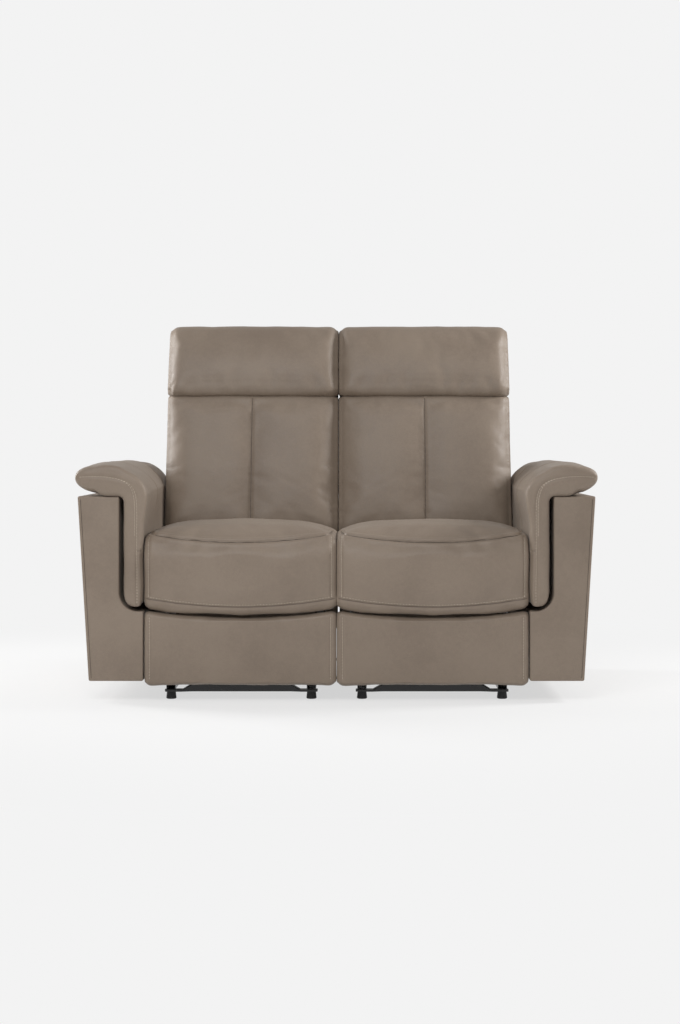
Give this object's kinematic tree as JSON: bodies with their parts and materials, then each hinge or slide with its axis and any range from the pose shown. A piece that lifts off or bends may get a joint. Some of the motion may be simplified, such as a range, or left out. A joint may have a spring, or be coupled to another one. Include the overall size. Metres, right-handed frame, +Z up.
{
  "type": "reclining sofa",
  "caption": "Leather reclining sofa with padded arms; each seat slides forward on swing links as its scissor footrest unfolds, and its tall back reclines.",
  "frame": {"origin": "on the floor, at the middle of the bounding box", "axes": "+X towards the sitters' left (the picture's right), +Y to the rear, +Z up"},
  "size_m": [1.4, 0.9198, 1.05],
  "materials": {
    "leather": "soft satin, stitched",
    "timber": "sawn softwood",
    "plywood": "plain ply",
    "steel_black": "satin black powder coat",
    "steel_bright": "zinc plated",
    "webbing": "woven strap",
    "cap_plastic": "plain"
  },
  "bodies": {
    "base": {"arm_frame_left": "timber", "arm_frame_right": "timber", "arm_panel_left": "leather", "arm_panel_right": "leather", "arm_pad_left": "leather", "arm_pad_right": "leather", "base_rails": "steel_black", "base_crossbars": "steel_black", "foot_caps": "cap_plastic", "base_side_brackets": "steel_black", "base_pivot_pins": "steel_bright", "centre_tie_plates": "steel_black", "arm_brackets": "steel_black", "arm_bolts": "steel_bright"},
    "rear_swing_left": {"rear_swing_links_left": "steel_black"},
    "front_swing_left": {"front_swing_links_left": "steel_black"},
    "seat_left": {"seat_cushion_left": "leather", "seat_frame_left": "timber", "seat_springs_left": "steel_bright", "seat_side_plates_left": "steel_black", "seat_pivot_pins_left": "steel_bright", "seat_frame_bolts_left": "steel_bright"},
    "drive_left": {"drive_links_left": "steel_black"},
    "cross_left": {"cross_links_left": "steel_black"},
    "reach_left": {"reach_links_left": "steel_black"},
    "lift_left": {"lift_links_left": "steel_black"},
    "footrest_left": {"footrest_pad_left": "leather", "footrest_board_left": "plywood", "footrest_brackets_left": "steel_black"},
    "back_left": {"head_pillow_left": "leather", "lumbar_cushion_left": "leather", "back_shell_left": "leather", "back_frame_left": "plywood", "back_webbing_left": "webbing", "back_brackets_left": "steel_black"},
    "rear_swing_right": {"rear_swing_links_right": "steel_black"},
    "front_swing_right": {"front_swing_links_right": "steel_black"},
    "seat_right": {"seat_cushion_right": "leather", "seat_frame_right": "timber", "seat_springs_right": "steel_bright", "seat_side_plates_right": "steel_black", "seat_pivot_pins_right": "steel_bright", "seat_frame_bolts_right": "steel_bright"},
    "drive_right": {"drive_links_right": "steel_black"},
    "cross_right": {"cross_links_right": "steel_black"},
    "reach_right": {"reach_links_right": "steel_black"},
    "lift_right": {"lift_links_right": "steel_black"},
    "footrest_right": {"footrest_pad_right": "leather", "footrest_board_right": "plywood", "footrest_brackets_right": "steel_black"},
    "back_right": {"head_pillow_right": "leather", "lumbar_cushion_right": "leather", "back_shell_right": "leather", "back_frame_right": "plywood", "back_webbing_right": "webbing", "back_brackets_right": "steel_black"}
  },
  "joints": [
    {"name": "rear_swing_left", "type": "hinge", "parent": "base", "child": "rear_swing_left", "pos_m": [-0.2585, 0.02, 0.095], "axis": [1, 0, 0], "range_deg": [0, 40]},
    {"name": "front_swing_left", "type": "hinge", "parent": "base", "child": "front_swing_left", "pos_m": [-0.2585, -0.14, 0.095], "axis": [1, 0, 0], "range_deg": [0, 40.02]},
    {"name": "seat_carry_left", "type": "hinge", "parent": "rear_swing_left", "child": "seat_left", "pos_m": [-0.2585, 0.05762, 0.19837], "axis": [1, 0, 0], "range_deg": [-40.02, 0]},
    {"name": "drive_turn_left", "type": "hinge", "parent": "seat_left", "child": "drive_left", "pos_m": [-0.2585, -0.1931, 0.2271], "axis": [-1, 0, 0], "range_deg": [0, 106.04]},
    {"name": "reach_turn_left", "type": "hinge", "parent": "drive_left", "child": "reach_left", "pos_m": [-0.2585, -0.10154, 0.11427], "axis": [-1, 0, 0], "range_deg": [-106.51, 0]},
    {"name": "footrest_turn_left", "type": "hinge", "parent": "reach_left", "child": "footrest_left", "pos_m": [-0.2585, -0.3643, 0.215], "axis": [-1, 0, 0], "range_deg": [0, 84.39]},
    {"name": "cross_turn_left", "type": "hinge", "parent": "seat_left", "child": "cross_left", "pos_m": [-0.2585, -0.2943, 0.2691], "axis": [-1, 0, 0], "range_deg": [0, 102.96]},
    {"name": "lift_turn_left", "type": "hinge", "parent": "cross_left", "child": "lift_left", "pos_m": [-0.2585, -0.18223, 0.11803], "axis": [-1, 0, 0], "range_deg": [-96.25, 0]},
    {"name": "back_recline_left", "type": "hinge", "parent": "seat_left", "child": "back_left", "pos_m": [-0.2585, 0.215, 0.33], "axis": [-1, 0, 0], "range_deg": [0, 35]},
    {"name": "rear_swing_right", "type": "hinge", "parent": "base", "child": "rear_swing_right", "pos_m": [0.2585, 0.02, 0.095], "axis": [1, 0, 0], "range_deg": [0, 40]},
    {"name": "front_swing_right", "type": "hinge", "parent": "base", "child": "front_swing_right", "pos_m": [0.2585, -0.14, 0.095], "axis": [1, 0, 0], "range_deg": [0, 40.02]},
    {"name": "seat_carry_right", "type": "hinge", "parent": "rear_swing_right", "child": "seat_right", "pos_m": [0.2585, 0.05762, 0.19837], "axis": [1, 0, 0], "range_deg": [-40.02, 0]},
    {"name": "drive_turn_right", "type": "hinge", "parent": "seat_right", "child": "drive_right", "pos_m": [0.2585, -0.1931, 0.2271], "axis": [-1, 0, 0], "range_deg": [0, 106.04]},
    {"name": "reach_turn_right", "type": "hinge", "parent": "drive_right", "child": "reach_right", "pos_m": [0.2585, -0.10154, 0.11427], "axis": [-1, 0, 0], "range_deg": [-106.51, 0]},
    {"name": "footrest_turn_right", "type": "hinge", "parent": "reach_right", "child": "footrest_right", "pos_m": [0.2585, -0.3643, 0.215], "axis": [-1, 0, 0], "range_deg": [0, 84.39]},
    {"name": "cross_turn_right", "type": "hinge", "parent": "seat_right", "child": "cross_right", "pos_m": [0.2585, -0.2943, 0.2691], "axis": [-1, 0, 0], "range_deg": [0, 102.96]},
    {"name": "lift_turn_right", "type": "hinge", "parent": "cross_right", "child": "lift_right", "pos_m": [0.2585, -0.18223, 0.11803], "axis": [-1, 0, 0], "range_deg": [-96.25, 0]},
    {"name": "back_recline_right", "type": "hinge", "parent": "seat_right", "child": "back_right", "pos_m": [0.2585, 0.215, 0.33], "axis": [-1, 0, 0], "range_deg": [0, 35]}
  ],
  "couplings": [
    {"joint": "front_swing_left", "follows": "rear_swing_left", "ratio": 1},
    {"joint": "seat_carry_left", "follows": "rear_swing_left", "ratio": -1},
    {"joint": "drive_turn_left", "follows": "rear_swing_left", "ratio": 2.6505},
    {"joint": "reach_turn_left", "follows": "rear_swing_left", "ratio": -2.6623},
    {"joint": "footrest_turn_left", "follows": "rear_swing_left", "ratio": 2.1093},
    {"joint": "cross_turn_left", "follows": "rear_swing_left", "ratio": 2.5736},
    {"joint": "lift_turn_left", "follows": "rear_swing_left", "ratio": -2.4058},
    {"joint": "front_swing_right", "follows": "rear_swing_right", "ratio": 1},
    {"joint": "seat_carry_right", "follows": "rear_swing_right", "ratio": -1},
    {"joint": "drive_turn_right", "follows": "rear_swing_right", "ratio": 2.6505},
    {"joint": "reach_turn_right", "follows": "rear_swing_right", "ratio": -2.6623},
    {"joint": "footrest_turn_right", "follows": "rear_swing_right", "ratio": 2.1093},
    {"joint": "cross_turn_right", "follows": "rear_swing_right", "ratio": 2.5736},
    {"joint": "lift_turn_right", "follows": "rear_swing_right", "ratio": -2.4058}
  ]
}
